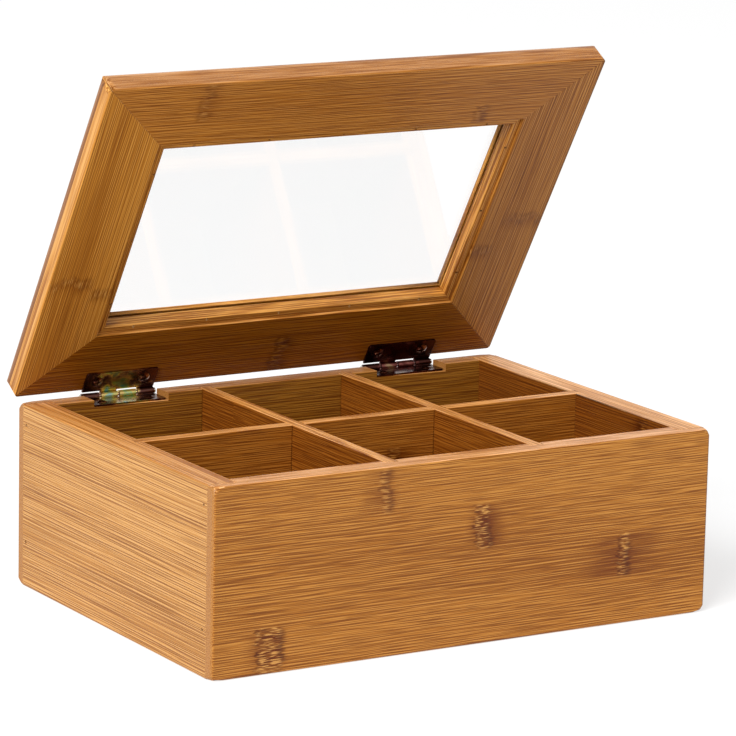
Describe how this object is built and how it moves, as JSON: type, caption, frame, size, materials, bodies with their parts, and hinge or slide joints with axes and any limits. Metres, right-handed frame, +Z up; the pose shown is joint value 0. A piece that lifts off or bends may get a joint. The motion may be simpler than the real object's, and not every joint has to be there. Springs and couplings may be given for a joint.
{
  "type": "tea bag organizer box",
  "caption": "Bamboo tea box with compartments for wrapped tea bags and a hinged lid that frames a clear window.",
  "frame": {"origin": "centre of the box's underside", "axes": "+X to the box's right seen from the front, +Y towards the hinges at the back, +Z up; the lid is stored open, leaning forward over the box as pictured"},
  "size_m": [0.222, 0.1684, 0.2111],
  "materials": {
    "wall_bamboo": "satin clear lacquer on carbonised bamboo",
    "lid_bamboo": "satin clear lacquer on carbonised bamboo",
    "bead_bamboo": "satin clear lacquer on carbonised bamboo",
    "divider_bamboo": "satin clear lacquer on carbonised bamboo",
    "bottom_board": "satin clear lacquer on bamboo board",
    "clear_pane": "polished clear sheet",
    "hinge_steel": "yellow zinc plate on steel",
    "screw_steel": "yellow zinc plate on steel",
    "pin_steel": "bright wire",
    "brad_steel": "dull wire"
  },
  "bodies": {
    "box": {"front_panel": "wall_bamboo", "back_panel": "wall_bamboo", "left_panel": "wall_bamboo", "right_panel": "wall_bamboo", "bottom_panel": "bottom_board", "long_divider": "divider_bamboo", "left_cross_divider": "divider_bamboo", "right_cross_divider": "divider_bamboo", "corner_brads": "brad_steel", "left_hinge_box_leaf": "hinge_steel", "left_hinge_pin": "pin_steel", "left_hinge_box_screws": "screw_steel", "right_hinge_box_leaf": "hinge_steel", "right_hinge_pin": "pin_steel", "right_hinge_box_screws": "screw_steel"},
    "lid": {"lid_front_rail": "lid_bamboo", "lid_rear_rail": "lid_bamboo", "lid_left_stile": "lid_bamboo", "lid_right_stile": "lid_bamboo", "window_pane": "clear_pane", "front_bead": "bead_bamboo", "rear_bead": "bead_bamboo", "left_bead": "bead_bamboo", "right_bead": "bead_bamboo", "bead_pins": "brad_steel", "left_hinge_lid_leaf": "hinge_steel", "left_hinge_lid_screws": "screw_steel", "right_hinge_lid_leaf": "hinge_steel", "right_hinge_lid_screws": "screw_steel"}
  },
  "joints": [
    {"name": "lid_hinge", "type": "hinge", "parent": "box", "child": "lid", "pos_m": [0, 0.0812, 0.07165], "axis": [-1, 0, 0], "range_deg": [-59, 121]}
  ]
}
